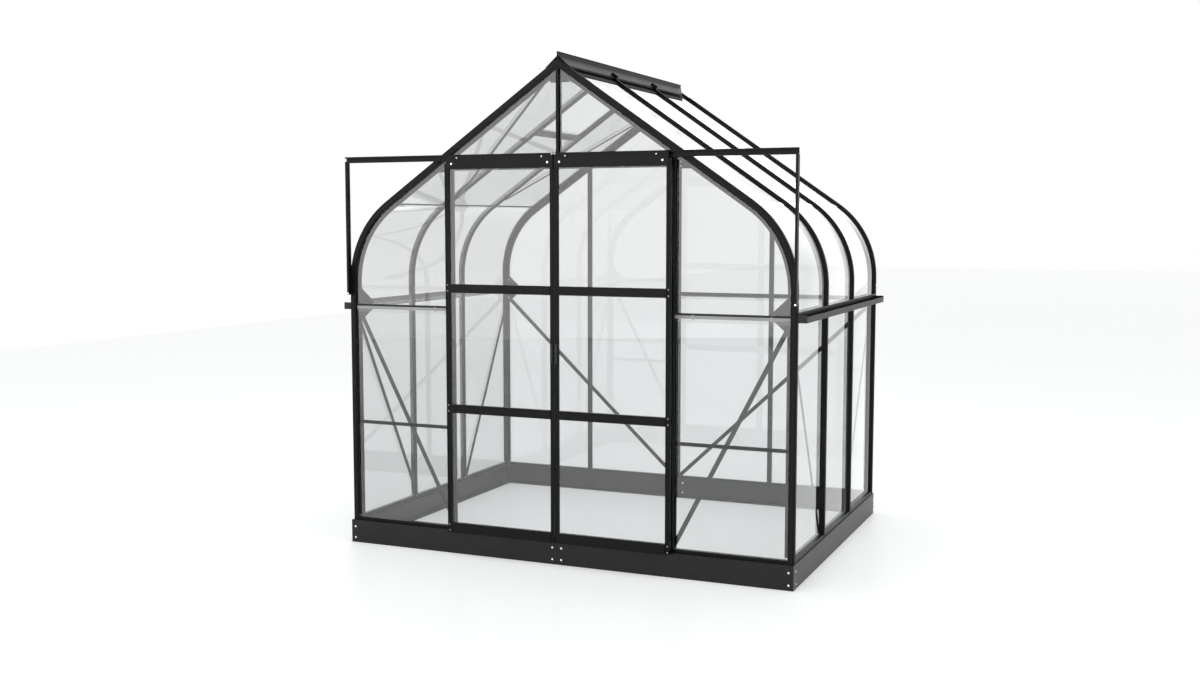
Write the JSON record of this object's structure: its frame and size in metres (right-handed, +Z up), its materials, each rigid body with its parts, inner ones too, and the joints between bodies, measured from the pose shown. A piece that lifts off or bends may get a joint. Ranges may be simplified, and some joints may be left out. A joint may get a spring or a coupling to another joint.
{
  "type": "greenhouse",
  "caption": "Greenhouse of clear glass in a black metal frame, with curved eaves, a pitched roof with a roof window, outside gutters and a pair of hanging sliding doors.",
  "frame": {"origin": "centre of the base frame's outline, on the ground", "axes": "+X across the front, +Y from the door gable to the back gable, +Z up"},
  "size_m": [2.658, 1.938, 2.6849],
  "materials": {
    "frame": "satin black powder coat",
    "base_steel": "satin black powder coat",
    "glass": "clear, smooth",
    "fittings": "matt"
  },
  "bodies": {
    "house": {"base_front_left": "base_steel", "base_front_right": "base_steel", "base_back_left": "base_steel", "base_back_right": "base_steel", "base_left": "base_steel", "base_right": "base_steel", "sills": "frame", "corner_bar_front_left": "frame", "corner_bar_front_right": "frame", "corner_bar_back_left": "frame", "corner_bar_back_right": "frame", "side_bar_left_front": "frame", "side_bar_left_back": "frame", "side_bar_right_front": "frame", "side_bar_right_back": "frame", "ridge": "frame", "gutter_left": "frame", "gutter_right": "frame", "door_jamb_left": "frame", "door_jamb_right": "frame", "door_header": "frame", "door_track": "frame", "track_stays": "frame", "front_upright": "frame", "back_upright_left": "frame", "back_upright_middle": "frame", "back_upright_right": "frame", "back_rail": "frame", "front_low_rails": "frame", "gable_braces_front": "frame", "gable_braces_back": "frame", "wall_braces": "frame", "roof_braces": "frame", "corner_plates_front": "frame", "corner_plates_back": "frame", "wall_glass_left": "glass", "wall_glass_right": "glass", "curved_glass_left": "glass", "curved_glass_right": "glass", "roof_glass_left": "glass", "roof_glass_right": "glass", "front_glass": "glass", "back_glass": "glass", "window_frame": "frame", "window_glass": "glass", "window_stay": "frame"},
    "door_left": {"door_left_frame": "frame", "door_left_glass": "glass", "door_left_fittings": "fittings"},
    "door_right": {"door_right_frame": "frame", "door_right_glass": "glass", "door_right_fittings": "fittings"}
  },
  "joints": [
    {"name": "door_left_slide", "type": "slide", "parent": "house", "child": "door_left", "axis": [-1, 0, 0], "range_m": [0, 0.6]},
    {"name": "door_right_slide", "type": "slide", "parent": "house", "child": "door_right", "axis": [1, 0, 0], "range_m": [0, 0.6]}
  ]
}
